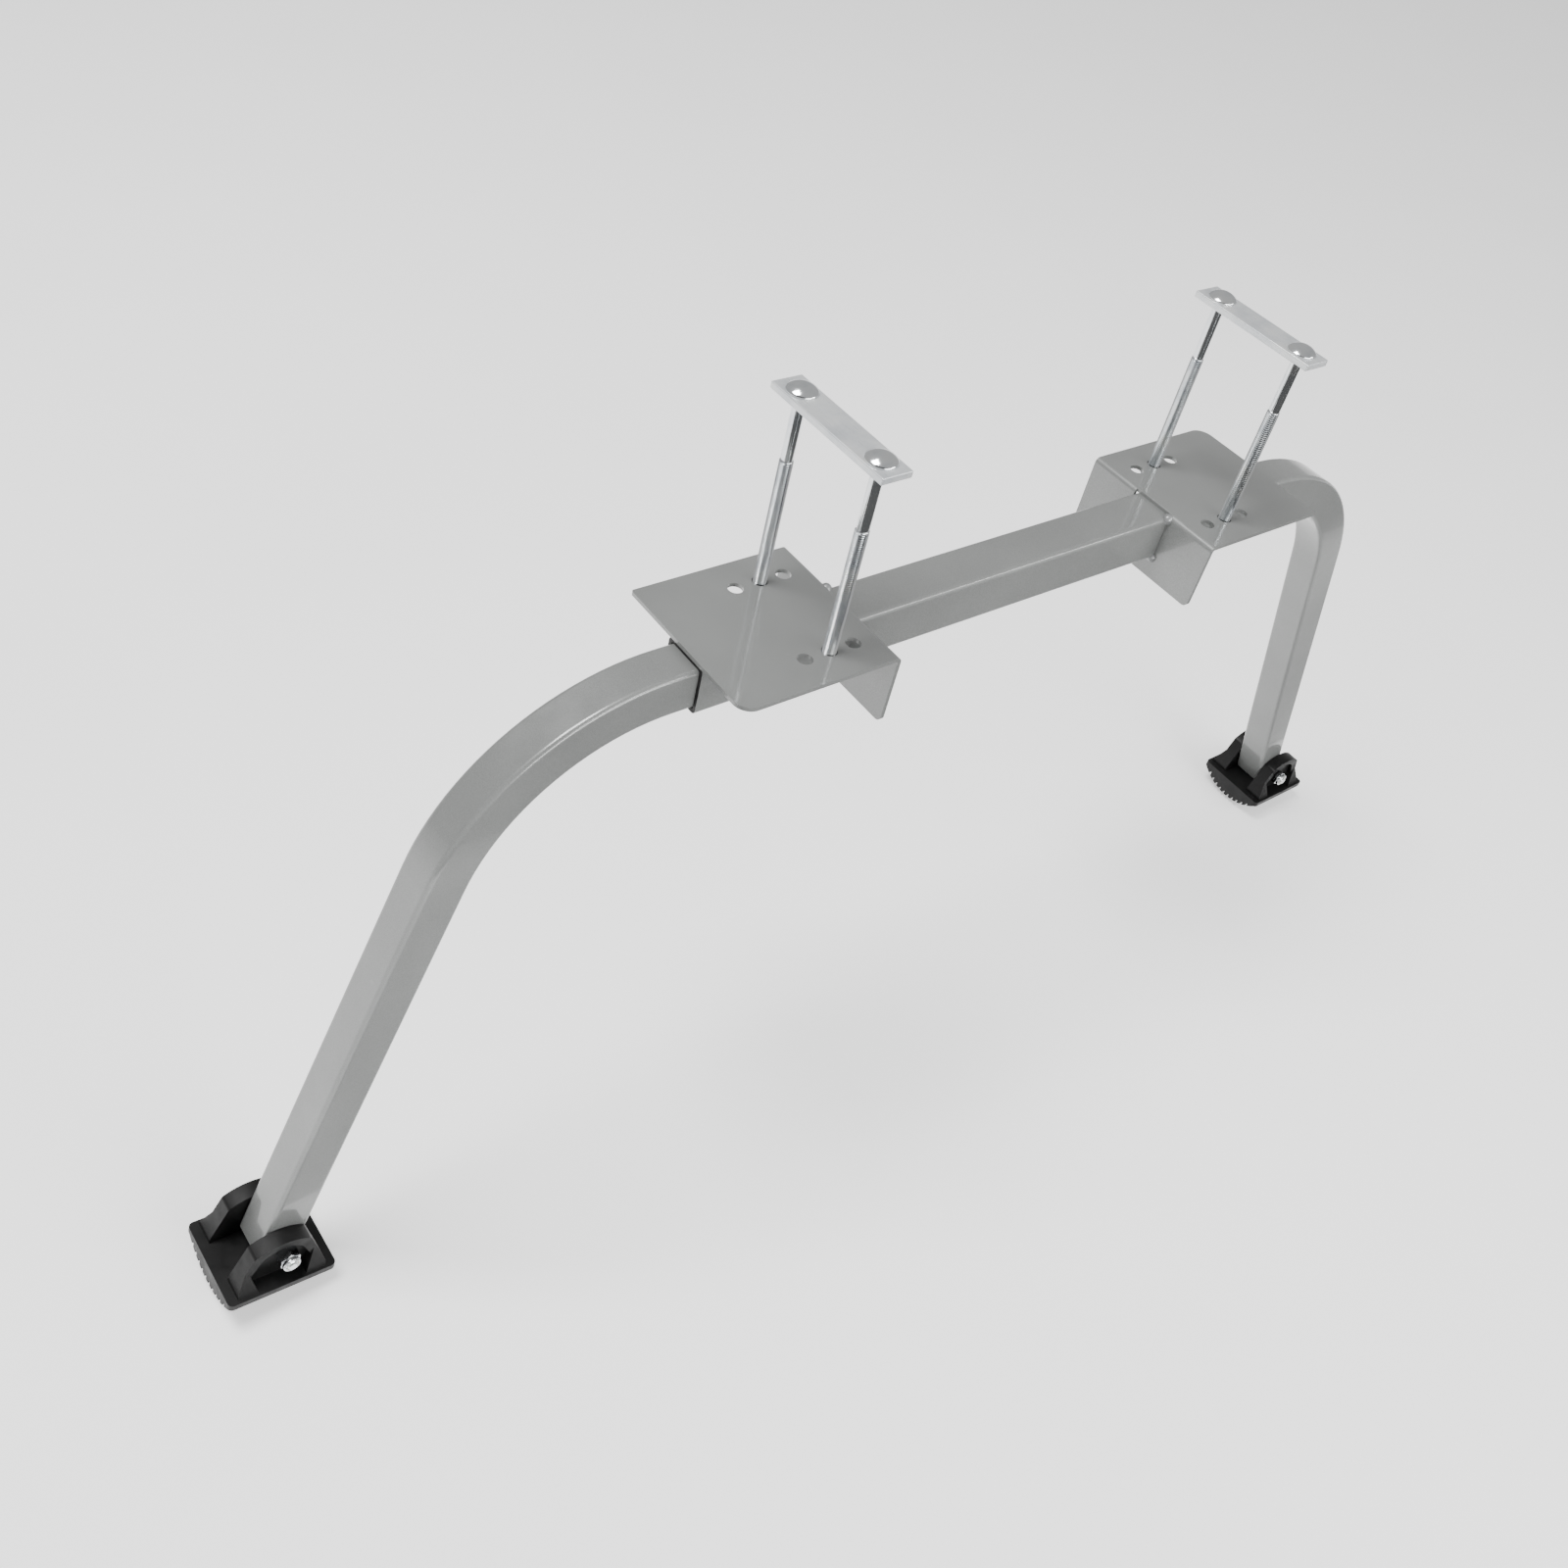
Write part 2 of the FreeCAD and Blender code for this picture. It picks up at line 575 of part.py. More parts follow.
def main():
    os.makedirs("parts", exist_ok=True)
    save("centre_sleeve", centre_sleeve())

    bracket = left_bracket()
    welds = left_bracket_welds(bracket)
    save("left_bracket", bracket)
    save("right_bracket", half_turn(bracket))
    save("left_bracket_welds", welds)
    save("right_bracket_welds", half_turn(welds))

    arm = right_arm()
    save("right_arm", arm)
    save("left_arm", mirrored(arm))

    _, pivot = arm_path()
    moulding = shoe()
    bolt, nut, ring = shoe_hardware()
    for side, sign in SIDES.items():
        screws = [arm_screw(place) for place in screw_positions(sign)]
        save(side + "_arm_screws", Part.makeCompound(screws))

        x = sign * CLAMP_X
        save(side + "_clamp_bar", clamp_bar(x))
        for row, row_sign in ROWS.items():
            y = row_sign * HOLE_ROW_Y
            save(side + "_" + row + "_clamp_bolt", clamp_bolt(x, y))
            save(side + "_" + row + "_clamp_washer", washer(x, y))
            save(side + "_" + row + "_clamp_nut", clamp_nut(x, y))

        shoe_way_round = moulding if side == "right" else half_turn(moulding)
        save(side + "_shoe", placed_on_leg(shoe_way_round, side, pivot))
        save(side + "_shoe_bolt", placed_on_leg(bolt, side, pivot))
        save(side + "_shoe_lock_nut", placed_on_leg(nut, side, pivot))
        save(side + "_shoe_nut_ring", placed_on_leg(ring, side, pivot))
    print("right shoe pivot", pivot)


main()
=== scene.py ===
import math

import bmesh
import bpy
from mathutils import Matrix, Vector


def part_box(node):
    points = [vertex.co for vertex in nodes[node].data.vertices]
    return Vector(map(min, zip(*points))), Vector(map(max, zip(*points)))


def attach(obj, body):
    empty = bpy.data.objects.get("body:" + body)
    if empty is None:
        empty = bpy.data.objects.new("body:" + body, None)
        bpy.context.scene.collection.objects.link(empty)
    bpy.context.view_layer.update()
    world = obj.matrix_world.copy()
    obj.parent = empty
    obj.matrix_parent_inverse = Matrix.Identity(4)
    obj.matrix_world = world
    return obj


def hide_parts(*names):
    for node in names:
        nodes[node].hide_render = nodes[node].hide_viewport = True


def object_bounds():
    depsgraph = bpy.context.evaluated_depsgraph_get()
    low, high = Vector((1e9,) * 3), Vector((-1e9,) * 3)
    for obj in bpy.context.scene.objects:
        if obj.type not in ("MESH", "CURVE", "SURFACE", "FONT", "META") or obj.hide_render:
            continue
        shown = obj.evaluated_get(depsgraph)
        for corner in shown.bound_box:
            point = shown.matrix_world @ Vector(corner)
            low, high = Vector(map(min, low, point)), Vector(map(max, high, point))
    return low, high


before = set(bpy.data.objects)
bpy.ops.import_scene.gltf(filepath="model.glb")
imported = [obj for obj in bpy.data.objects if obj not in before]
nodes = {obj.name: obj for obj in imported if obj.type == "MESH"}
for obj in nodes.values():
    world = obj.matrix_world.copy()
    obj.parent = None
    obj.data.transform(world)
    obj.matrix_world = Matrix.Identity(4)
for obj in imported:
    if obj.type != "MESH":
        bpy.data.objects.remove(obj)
cad_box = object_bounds()

MM = 0.001
SIDES = {"left": -1, "right": 1}
ROWS = ("front", "rear")

# 3/8 inch thread, 16 to the inch, and the carriage bolts cut with it.
THREAD_MAJOR_R = 4.7625 * MM
THREAD_PITCH = 25.4 / 16 * MM
THREAD_DEPTH = 0.6134 * THREAD_PITCH
THREAD_MINOR_R = THREAD_MAJOR_R - THREAD_DEPTH
SHANK_R = 4.2 * MM
DOME_R = 10.7 * MM
DOME_HEIGHT = 5.3 * MM
DOME_EDGE = 1.0 * MM
NECK_SIDE = 9.4 * MM
NECK_DEPTH = 5.5 * MM
NECK_CORNER_R = 0.66 * NECK_SIDE
NECK_TOP_GAP = 0.05 * MM
NECK_TAPER = 0.6 * MM
THREAD_RUN_OUT = 1.2 * MM
END_CHAMFER = 0.9 * MM
POINT_TAPER = 0.7 * MM
CLAMP_THREAD_LENGTH = 116.0 * MM
# Rings round the head's rim: (how far inside DOME_R, height above the head's underside).
HEAD_RIM = ((0.15 * MM, 1.1 * MM), (0.0, 0.75 * MM), (0.0, 0.3 * MM), (0.25 * MM, 0.0))
ROUND_STEPS = 32
DOME_STEPS = 9

# The thread's ridge starts this far inside the core and fades in and out over so many turns.
RIDGE_BURIED = 0.15 * MM
RIDGE_END_GAP = 0.5 * MM
RIDGE_STEPS = 28
RIDGE_FADE_IN = 1.5
RIDGE_FADE_OUT = 1.0
# One pitch of the ridge: (share of the pitch, share of the full height).
RIDGE_PROFILE = ((0.0, 0.0), (0.354, 1.0), (0.479, 1.0), (0.833, 0.0))

# The square sleeve: its bore, its corner radii, and the inset and thickness of the dark skin on its
# bare cut ends, which also paints the shade where the arms go in.
SLEEVE_BORE = 32.0 * MM
SLEEVE_CORNER_R = 4.0 * MM
SLEEVE_BORE_CORNER_R = SLEEVE_CORNER_R / 3
SLEEVE_CORNER_STEPS = 6
CUT_END_INSET = 0.3 * MM
CUT_END_SKIN = 0.06 * MM

# Eased edges: the width on each part, and the angle from which an edge counts as sharp. Faces
# within FLAT_ANGLE of each other and points within SAME_POINT are joined first.
PLATE_EASE = 0.5 * MM
SHOE_EASE = 0.6 * MM
EASE_SEGMENTS = 2
SHARP_ANGLE = math.radians(32)
FLAT_ANGLE = math.radians(0.5)
SAME_POINT = 0.001 * MM

# The stage, in metres and watts. Each lamp has a place, a width and height, and a power; it
# faces the middle of the object. Each card has a place, a size, a facing and a tone.
FLOOR_SIZE = 30.0
FLOOR_GAP = 0.5 * MM
FLOOR_GLOW = 0.50
WORLD_STRENGTH = 0.50
SOFT_LAMPS = (
    ("key", (-1.2, 0.5, 3.0), (1.4, 1.4), 165.0),
    ("edge_strip", (1.0, -2.5, 1.50), (3.6, 0.32), 56.0),
    ("front_fill", (0.2, -3.0, 0.35), (2.4, 0.7), 72.0),
)
DARK_CARDS = (
    ("level_card", (0.165, -0.39, -0.12), (1.53, 0.70), (0, 0, 1), 0.055),
    ("low_card", (0.25, -0.235, -0.485), (1.75, 0.35), (0, 0, 1), 0.30),
    ("high_card", (-1.45, -1.35, 2.0), (2.4, 1.3), (1.45, 1.35, -2.0), 0.055),
)

# The camera: place in metres, angles in degrees, lens and sensor in millimetres.
CAMERA_PLACE = (-0.7805, -0.5778, 0.6218)
CAMERA_ANGLES = (45.798, -10.838, -36.425)
CAMERA_LENS = 35.87
CAMERA_SENSOR = 36.0
CAMERA_REACH = 60.0


# ---- materials ---------------------------------------------------------------------------
class Shader:
    """A node material that is built up round one Principled BSDF."""

    def __init__(self, name):
        self.material = bpy.data.materials.new(name)
        self.material.use_nodes = True
        self.tree = self.material.node_tree
        self.bsdf = self.tree.nodes["Principled BSDF"]
        coordinates = self.tree.nodes.new("ShaderNodeTexCoord")
        self.place = coordinates.outputs["Object"]
        self.last_normal = None

    def constant(self, **values):
        for name, value in values.items():
            self.bsdf.inputs[name.replace("_", " ")].default_value = value

    def link(self, start, end):
        self.tree.links.new(start, end)

    def stretched(self, scale):
        mapping = self.tree.nodes.new("ShaderNodeMapping")
        mapping.inputs["Scale"].default_value = scale
        self.link(self.place, mapping.inputs["Vector"])
        return mapping.outputs["Vector"]

    def noise(self, scale, detail=2.0, roughness=0.5, place=None):
        noise = self.tree.nodes.new("ShaderNodeTexNoise")
        noise.inputs["Scale"].default_value = scale
        noise.inputs["Detail"].default_value = detail
        noise.inputs["Roughness"].default_value = roughness
        self.link(place or self.place, noise.inputs["Vector"])
        return noise.outputs["Fac"]

    def ramp(self, value, stops):
        """Stops are (position, colour or grey value)."""
        ramp = self.tree.nodes.new("ShaderNodeValToRGB")
        elements = ramp.color_ramp.elements
        while len(elements) < len(stops):
            elements.new(0.5)
        for element, (position, colour) in zip(elements, stops):
            element.position = position
            if isinstance(colour, (int, float)):
                colour = (colour, colour, colour)
            element.color = (*colour, 1.0)
        self.link(value, ramp.inputs["Fac"])
        return ramp.outputs["Color"]

    def blend(self, factor, first, second, mode="MIX"):
        mix = self.tree.nodes.new("ShaderNodeMix")
        mix.data_type = "RGBA"
        mix.blend_type = mode
        colour_inputs = [socket for socket in mix.inputs if socket.type == "RGBA"]
        factor_input = mix.inputs[0]
        if isinstance(factor, (int, float)):
            factor_input.default_value = factor
        else:
            self.link(factor, factor_input)
        for socket, value in zip(colour_inputs, (first, second)):
            if isinstance(value, tuple):
                socket.default_value = (*value, 1.0)
            else:
                self.link(value, socket)
        return [socket for socket in mix.outputs if socket.type == "RGBA"][0]

    def bump(self, height, strength, distance):
        bump = self.tree.nodes.new("ShaderNodeBump")
        bump.inputs["Strength"].default_value = strength
        bump.inputs["Distance"].default_value = distance
        self.link(height, bump.inputs["Height"])
        if self.last_normal is not None:
            self.link(self.last_normal, bump.inputs["Normal"])
        self.last_normal = bump.outputs["Normal"]
        self.link(self.last_normal, self.bsdf.inputs["Normal"])


def powder_coat():
    """Silver-grey powder coat: orange peel, faint clouding, fine metallic speckle, rubbed spots."""
    shader = Shader("grey_powder_coat")
    shader.constant(Metallic=0.22, Coat_Weight=0.8, Coat_Roughness=0.07)
    clouds = shader.ramp(shader.noise(9.0, 3.0),
                         [(0.35, (0.168, 0.173, 0.169)), (0.65, (0.194, 0.200, 0.195))])
    speckle = shader.ramp(shader.noise(2600.0, 1.0), [(0.40, 0.82), (0.62, 1.10)])
    colour = shader.blend(1.0, clouds, speckle, "MULTIPLY")
    rubs = shader.ramp(shader.noise(38.0, 6.0, 0.72), [(0.66, 0.0), (0.74, 0.30)])
    colour = shader.blend(rubs, colour, (0.30, 0.305, 0.31))
    shader.link(colour, shader.bsdf.inputs["Base Color"])
    shader.link(shader.ramp(shader.noise(55.0, 4.0), [(0.3, 0.30), (0.7, 0.40)]),
                shader.bsdf.inputs["Roughness"])
    shader.bump(shader.noise(520.0, 2.0), 0.12, 0.10 * MM)
    shader.bump(shader.noise(30.0, 2.0), 0.06, 0.4 * MM)
    return shader.material


def weld_bead():
    """The same coat over a weld's ripples and spatter."""
    shader = Shader("coated_weld")
    shader.constant(Metallic=0.35, Coat_Weight=0.35, Coat_Roughness=0.15)
    colour = shader.ramp(shader.noise(160.0, 4.0),
                         [(0.3, (0.16, 0.165, 0.165)), (0.7, (0.26, 0.265, 0.265))])
    shader.link(colour, shader.bsdf.inputs["Base Color"])
    shader.link(shader.ramp(shader.noise(90.0), [(0.3, 0.26), (0.7, 0.42)]),
                shader.bsdf.inputs["Roughness"])
    ripples = shader.noise(1.0, 2.0, place=shader.stretched((620.0, 90.0, 90.0)))
    shader.bump(ripples, 0.7, 0.7 * MM)
    shader.bump(shader.noise(700.0), 0.3, 0.3 * MM)
    return shader.material


def zinc_plate(name, grain, roughness, metallic=1.0, tone=1.0):
    """Bright zinc: a cool sheen with drawn streaks along `grain` and faint clouding."""
    shader = Shader(name)
    shader.constant(Metallic=metallic)
    tones = (0.30, (0.66, 0.69, 0.72)), (0.55, (0.82, 0.84, 0.85)), (0.80, (0.88, 0.88, 0.85))
    stops = [(position, tuple(tone * level for level in levels)) for position, levels in tones]
    colour = shader.ramp(shader.noise(60.0, 5.0, 0.6), stops)
    shader.link(colour, shader.bsdf.inputs["Base Color"])
    streaks = shader.noise(1.0, 4.0, 0.6, shader.stretched(grain))
    shader.link(shader.ramp(streaks, [(0.3, roughness * 0.75), (0.7, roughness * 1.35)]),
                shader.bsdf.inputs["Roughness"])
    shader.bump(streaks, 0.18, 0.08 * MM)
    shader.bump(shader.noise(240.0, 3.0), 0.08, 0.1 * MM)
    return shader.material


def black_moulding():
    """Hard black rubber: satin, with a fine moulded grain and dusty scuffs."""
    shader = Shader("black_moulding")
    shader.constant(Specular_IOR_Level=0.28)
    base = shader.ramp(shader.noise(24.0, 5.0, 0.6), [(0.35, 0.003), (0.70, 0.006)])
    scuffs = shader.ramp(shader.noise(70.0, 8.0, 0.75), [(0.60, 0.0), (0.72, 0.5)])
    colour = shader.blend(scuffs, base, (0.018, 0.018, 0.020))
    shader.link(colour, shader.bsdf.inputs["Base Color"])
    shader.link(shader.ramp(shader.noise(80.0, 5.0), [(0.3, 0.34), (0.7, 0.55)]),
                shader.bsdf.inputs["Roughness"])
    shader.bump(shader.noise(1500.0, 2.0), 0.25, 0.12 * MM)
    shader.bump(shader.noise(60.0, 3.0), 0.15, 0.5 * MM)
    return shader.material


def shaded_cut_steel():
    """Bare saw-cut steel, dull, with fine saw lines; its colour is made near black as painted shade
    where the arms go into the sleeve.
    """
    shader = Shader("shaded_cut_steel")
    shader.constant(Metallic=0.7)
    # Near-black tones, darker than bare steel: painted shade at the sleeve's ends.
    colour = shader.ramp(shader.noise(200.0, 4.0),
                         [(0.3, (0.020, 0.020, 0.021)), (0.7, (0.045, 0.044, 0.043))])
    shader.link(colour, shader.bsdf.inputs["Base Color"])
    shader.link(shader.ramp(shader.noise(150.0), [(0.3, 0.5), (0.7, 0.7)]),
                shader.bsdf.inputs["Roughness"])
    saw_lines = shader.noise(1.0, 2.0, place=shader.stretched((100.0, 100.0, 2500.0)))
    shader.bump(saw_lines, 0.3, 0.1 * MM)
    return shader.material


def nylon():
    """Off-white nylon insert."""
    shader = Shader("nylon_insert")
    shader.constant(Subsurface_Weight=0.1, Subsurface_Scale=0.001)
    colour = shader.ramp(shader.noise(300.0, 3.0),
                         [(0.3, (0.66, 0.66, 0.60)), (0.7, (0.76, 0.76, 0.71))])
    shader.link(colour, shader.bsdf.inputs["Base Color"])
    shader.link(shader.ramp(shader.noise(200.0), [(0.3, 0.35), (0.7, 0.5)]),
                shader.bsdf.inputs["Roughness"])
    shader.bump(shader.noise(900.0), 0.15, 0.1 * MM)
    return shader.material


COAT = powder_coat()
WELD = weld_bead()
ZINC_BAR = zinc_plate("zinc_plate_bar", (900.0, 40.0, 900.0), 0.34, 0.6, 0.78)
ZINC_BOLT = zinc_plate("zinc_plate_bolt", (500.0, 500.0, 60.0), 0.13, 1.0, 0.95)
ZINC_NUT = zinc_plate("zinc_plate_nut", (400.0, 400.0, 400.0), 0.18)
RUBBER = black_moulding()
NYLON = nylon()
SHADED_CUT_STEEL = shaded_cut_steel()


# ---- mesh helpers --------------------------------------------------------------------------
def new_piece(name, body, material, replaced, build):
    """An object filled by `build` that rides on a body, in place of a CAD node if one is named."""
    mesh = bpy.data.meshes.new(name)
    shape = bmesh.new()
    build(shape)
    bmesh.ops.recalc_face_normals(shape, faces=shape.faces)
    shape.to_mesh(mesh)
    shape.free()
    piece = bpy.data.objects.new(name, mesh)
    bpy.context.scene.collection.objects.link(piece)
    mesh.materials.append(material)
    shade(mesh)
    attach(piece, body)
    if replaced:
        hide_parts(replaced)
    return piece


def shade(mesh):
    mesh.shade_smooth()
    mesh.set_sharp_from_angle(angle=SHARP_ANGLE)


def applied(piece):
    """Turn a piece's modifiers into plain mesh, normals and all."""
    bpy.context.view_layer.update()
    evaluated = piece.evaluated_get(bpy.context.evaluated_depsgraph_get())
    finished = bpy.data.meshes.new_from_object(evaluated)
    piece.modifiers.clear()
    piece.data = finished


def eased_copy(node, name, body, material, width):
    """The CAD node's shape with its sharp edges eased over `width`."""

    def build(shape):
        shape.from_mesh(nodes[node].data)
        bmesh.ops.remove_doubles(shape, verts=shape.verts, dist=SAME_POINT)
        bmesh.ops.dissolve_limit(shape, angle_limit=FLAT_ANGLE, verts=shape.verts, edges=shape.edges)

    piece = new_piece(name, body, material, node, build)
    piece.data.set_sharp_from_angle(angle=math.pi)
    bevel = piece.modifiers.new("eased_edges", "BEVEL")
    bevel.width = width
    bevel.segments = EASE_SEGMENTS
    bevel.limit_method = "ANGLE"
    bevel.angle_limit = SHARP_ANGLE
    bevel.use_clamp_overlap = True
    bevel.harden_normals = True
    flat_faces = piece.modifiers.new("flat_faces", "WEIGHTED_NORMAL")
    flat_faces.mode = "FACE_AREA"
    flat_faces.weight = 100
    flat_faces.keep_sharp = True
    applied(piece)
    return piece


def ring_of(shape, radius, z, square=0.0):
    """A ring of vertices; `square` above 0 is the side of a square with clipped corners."""
    ring = []
    for step in range(ROUND_STEPS):
        angle = 2 * math.pi * (step + 0.5) / ROUND_STEPS
        reach = radius
        if square:
            reach = min(radius, square / 2 / max(abs(math.cos(angle)), abs(math.sin(angle))))
        ring.append(shape.verts.new((reach * math.cos(angle), reach * math.sin(angle), z)))
    return ring


def bridge(shape, upper, lower):
    """A band of faces between two loops of vertices."""
    count = len(upper)
    for step in range(count):
        after = (step + 1) % count
        shape.faces.new((upper[step], upper[after], lower[after], lower[step]))


def lathe(shape, rings):
    """Rings from the top down, closed by a fan at each end."""
    for upper, lower in zip(rings, rings[1:]):
        bridge(shape, upper, lower)
    for ring in (rings[0], rings[-1]):
        middle = shape.verts.new((0, 0, ring[0].co.z))
        for step in range(len(ring)):
            shape.faces.new((ring[step], ring[(step + 1) % len(ring)], middle))


def thread_ridge(shape, top_z, bottom_z):
    """A 60 degree helical ridge on the bolt's core, fading out at both ends."""
    turns = int((top_z - bottom_z) / THREAD_PITCH) - 1
    corners = len(RIDGE_PROFILE)
    rows = turns * corners + 1
    buried_r = THREAD_MINOR_R - RIDGE_BURIED
    columns = []
    for step in range(RIDGE_STEPS):
        turned = step / RIDGE_STEPS
        column = []
        for row in range(rows):
            along, height = RIDGE_PROFILE[row % corners]
            place = row // corners + along + turned
            strength = min(1.0, place / RIDGE_FADE_IN, (turns + 1 - place) / RIDGE_FADE_OUT)
            radius = buried_r + (THREAD_MAJOR_R - buried_r) * height * max(strength, 0.0)
            angle = 2 * math.pi * turned
            z = top_z - place * THREAD_PITCH
            column.append(shape.verts.new((radius * math.cos(angle), radius * math.sin(angle), z)))
        columns.append(column)
    for step in range(RIDGE_STEPS - 1):
        for row in range(rows - 1):
            shape.faces.new((columns[step][row], columns[step + 1][row],
                             columns[step + 1][row + 1], columns[step][row + 1]))
    for row in range(rows - 1 - corners):
        shape.faces.new((columns[-1][row], columns[0][row + corners],
                         columns[0][row + corners + 1], columns[-1][row + 1]))


def carriage_bolt(shape, length, thread_length, frame_matrix):
    """A bolt with its head up and the head's underside at z = 0, then moved by frame_matrix."""
    rings = []
    arc_rise = DOME_HEIGHT - DOME_EDGE
    arc_r = (DOME_R ** 2 + arc_rise ** 2) / (2 * arc_rise)
    half_angle = math.asin(DOME_R / arc_r)
    for step in range(1, DOME_STEPS):
        angle = half_angle * step / DOME_STEPS
        z = DOME_HEIGHT - arc_r * (1 - math.cos(angle))
        rings.append(ring_of(shape, arc_r * math.sin(angle), z))
    for inset, z in HEAD_RIM:
        rings.append(ring_of(shape, DOME_R - inset, z))
    rings.append(ring_of(shape, NECK_CORNER_R, 0.0))
    for z in (-NECK_TOP_GAP, NECK_TAPER - NECK_DEPTH):
        rings.append(ring_of(shape, NECK_CORNER_R, z, square=NECK_SIDE))
    thread_top = thread_length - length
    for radius, z in ((SHANK_R, -NECK_DEPTH), (SHANK_R, thread_top + THREAD_RUN_OUT),
                      (THREAD_MINOR_R, thread_top), (THREAD_MINOR_R, -length + END_CHAMFER),
                      (THREAD_MINOR_R - POINT_TAPER, -length)):
        rings.append(ring_of(shape, radius, z))
    lathe(shape, rings)
    thread_ridge(shape, thread_top + THREAD_PITCH, RIDGE_END_GAP - length)
    bmesh.ops.transform(shape, matrix=frame_matrix, verts=shape.verts)


# ---- welded frame ----------------------------------------------------------------------------
def paint(node, material):
    """Give a CAD node a material in a single slot."""
    node_mesh = nodes[node].data
    node_mesh.materials.clear()
    node_mesh.materials.append(material)


def build_welded_frame():
    paint("centre_sleeve", COAT)
    for side in SIDES:
        paint(side + "_arm", COAT)
        paint(side + "_bracket_welds", WELD)
        paint(side + "_arm_screws", ZINC_NUT)
        eased_copy(side + "_bracket", side + "_bracket_plate", "frame", COAT,
                   PLATE_EASE)


def build_sleeve_ends():
    """A thin skin on the sleeve's saw-cut end faces round the arms: bare steel, made near black as
    painted shade at the joint.
    """
    low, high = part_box("centre_sleeve")
    half = high.y - CUT_END_INSET
    bore = SLEEVE_BORE / 2
    middle_z = (low.z + high.z) / 2
    for side, sign in SIDES.items():
        face_x = high.x if sign > 0 else low.x

        def build(shape):
            outlines = []
            for x in (face_x, face_x + sign * CUT_END_SKIN):
                for reach, corner in ((half, SLEEVE_CORNER_R - CUT_END_INSET),
                                      (bore, SLEEVE_BORE_CORNER_R)):
                    outlines.append(rounded_square(shape, x, middle_z, reach, corner))
            back_edge, back_bore, face_edge, face_bore = outlines
            bridge(shape, face_edge, face_bore)
            bridge(shape, back_edge, face_edge)
            bridge(shape, face_bore, back_bore)
            bridge(shape, back_bore, back_edge)

        # Each end gets the near-black skin: bare cut steel plus painted shade where the arm meets
        # the sleeve.
        new_piece(side + "_sleeve_cut_end_shade", "frame", SHADED_CUT_STEEL, None, build)


def rounded_square(shape, x, middle_z, reach, corner):
    """A loop of vertices in the plane of one x, `reach` from the middle to each flat."""
    loop = []
    for quarter in range(4):
        for step in range(SLEEVE_CORNER_STEPS):
            angle = math.radians(90) * (quarter + step / (SLEEVE_CORNER_STEPS - 1))
            centre = math.radians(45) + math.radians(90) * quarter
            y = (reach - corner) * math.copysign(1, math.cos(centre)) + corner * math.cos(angle)
            z = (reach - corner) * math.copysign(1, math.sin(centre)) + corner * math.sin(angle)
            loop.append(shape.verts.new((x, y, middle_z + z)))
    return loop


# ---- clamps -----------------------------------------------------------------------------------
def build_clamps():
    for side in SIDES:
        paint(side + "_clamp_bar", ZINC_BAR)
        for row in ROWS:
            stem = side + "_" + row
            paint(stem + "_clamp_nut", ZINC_NUT)
            paint(stem + "_clamp_washer", ZINC_NUT)
            low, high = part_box(stem + "_clamp_bolt")
            seat_z = high.z - DOME_HEIGHT
            middle = (low + high) / 2
            place = Matrix.Translation((middle.x, middle.y, seat_z))
            length = seat_z - low.z
            new_piece(stem + "_carriage_bolt", side + "_clamp", ZINC_BOLT,
                      stem + "_clamp_bolt",
                      lambda shape: carriage_bolt(shape, length, CLAMP_THREAD_LENGTH, place))


# ---- shoes --------------------------------------------------------------------------------------
def build_shoes():
    for side in SIDES:
        body = side + "_shoe"
        eased_copy(side + "_shoe", side + "_shoe_moulding", body, RUBBER, SHOE_EASE)
        paint(side + "_shoe_lock_nut", ZINC_NUT)
        paint(side + "_shoe_nut_ring", NYLON)
        low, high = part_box(side + "_shoe_bolt")
        middle = (low + high) / 2
        place = (Matrix.Translation((middle.x, high.y - DOME_HEIGHT, middle.z))
                 @ Matrix.Rotation(math.radians(-90), 4, "X"))
        length = high.y - DOME_HEIGHT - low.y
        new_piece(side + "_pivot_bolt", body, ZINC_NUT, side + "_shoe_bolt",
                  lambda shape: carriage_bolt(shape, length, length - NECK_DEPTH, place))


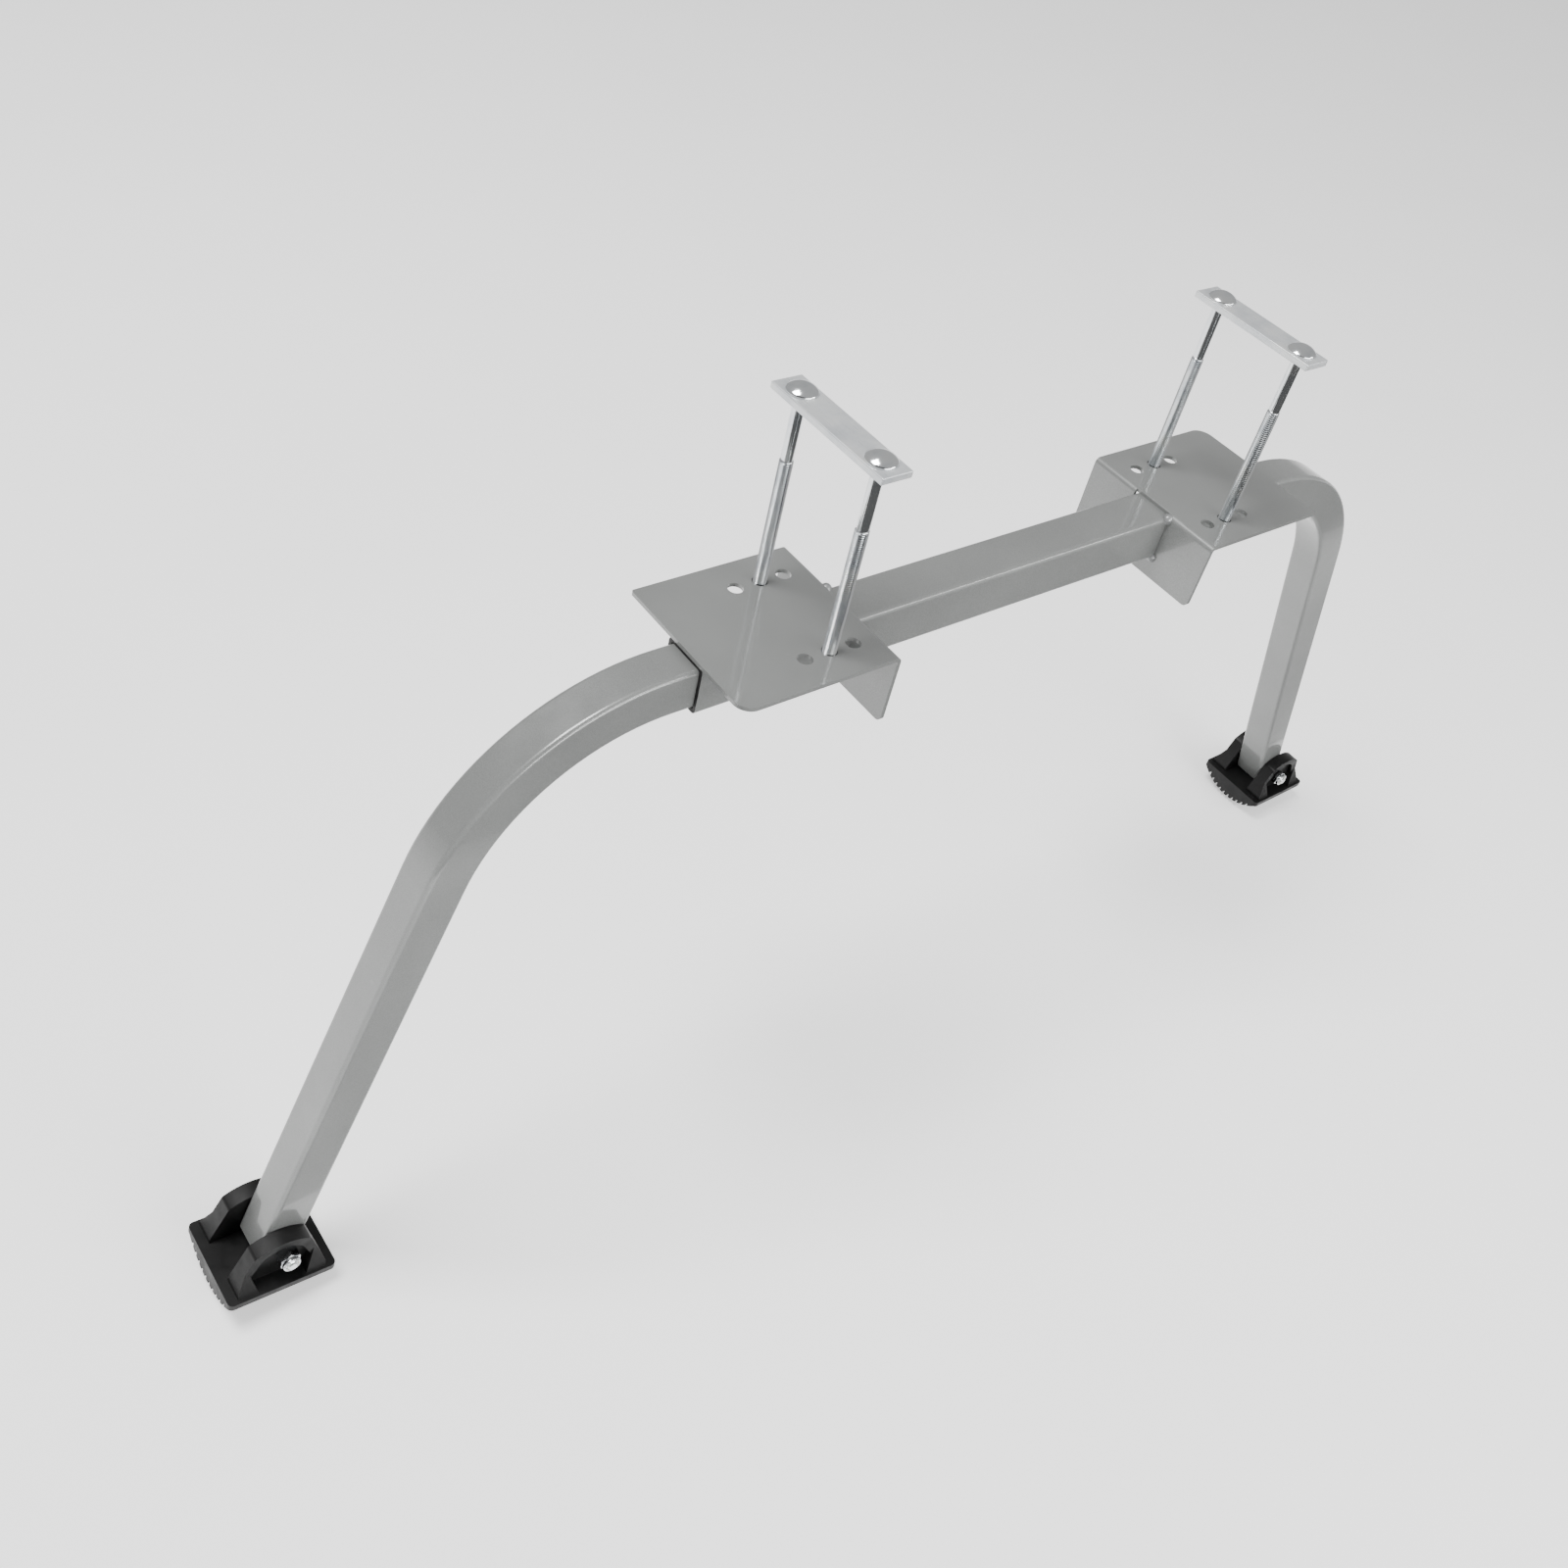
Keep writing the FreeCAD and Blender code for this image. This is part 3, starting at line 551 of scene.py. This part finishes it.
# ---- stage ---------------------------------------------------------------------------------------
def build_stage():
    floor_z = cad_box[0][2] - FLOOR_GAP
    bpy.ops.mesh.primitive_plane_add(size=FLOOR_SIZE, location=(0, 0, floor_z))
    floor = bpy.context.object
    floor.name = "floor"
    shader = Shader("pale_floor")
    shader.constant(Roughness=0.9, Specular_IOR_Level=0.2, Emission_Color=(1.0, 1.0, 1.0, 1.0),
                    Emission_Strength=FLOOR_GLOW)
    shader.link(shader.ramp(shader.noise(3.0), [(0.3, 0.90), (0.7, 0.92)]),
                shader.bsdf.inputs["Base Color"])
    floor.data.materials.append(shader.material)

    world = bpy.data.worlds.new("studio")
    bpy.context.scene.world = world
    world.use_nodes = True
    background = world.node_tree.nodes["Background"]
    background.inputs["Color"].default_value = (1.0, 1.0, 1.0, 1.0)
    background.inputs["Strength"].default_value = WORLD_STRENGTH

    for lamp in SOFT_LAMPS:
        add_softbox(*lamp)
    for card in DARK_CARDS:
        add_dark_card(*card)


def add_softbox(name, place, size, power):
    """A rectangular lamp that faces the object."""
    lamp = bpy.data.lights.new(name, "AREA")
    lamp.shape = "RECTANGLE"
    lamp.size, lamp.size_y = size
    lamp.energy = power
    holder = bpy.data.objects.new(name, lamp)
    holder.location = place
    holder.rotation_euler = (-Vector(place)).to_track_quat("-Z", "Y").to_euler()
    bpy.context.scene.collection.objects.link(holder)


def add_dark_card(name, place, size, facing, tone):
    """A matt dark card that shows in reflections and nowhere else."""
    bpy.ops.mesh.primitive_plane_add(size=1.0, location=place)
    card = bpy.context.object
    card.name = name
    card.scale = (*size, 1.0)
    card.rotation_euler = Vector(facing).to_track_quat("Z", "Y").to_euler()
    shader = Shader(name + "_black")
    shader.constant(Roughness=1.0, Specular_IOR_Level=0.0)
    shader.link(shader.ramp(shader.noise(3.0), [(0.3, tone * 0.95), (0.7, tone * 1.05)]),
                shader.bsdf.inputs["Base Color"])
    card.data.materials.append(shader.material)
    card.visible_camera = False
    card.visible_diffuse = False
    card.visible_shadow = False
    card.visible_transmission = False


def build_camera():
    camera = bpy.data.cameras.new("camera")
    camera.sensor_width = CAMERA_SENSOR
    camera.lens = CAMERA_LENS
    camera.clip_end = CAMERA_REACH
    holder = bpy.data.objects.new("camera", camera)
    holder.location = CAMERA_PLACE
    holder.rotation_euler = [math.radians(angle) for angle in CAMERA_ANGLES]
    bpy.context.scene.collection.objects.link(holder)
    bpy.context.scene.camera = holder


build_camera()
build_welded_frame()
build_sleeve_ends()
build_clamps()
build_shoes()
build_stage()
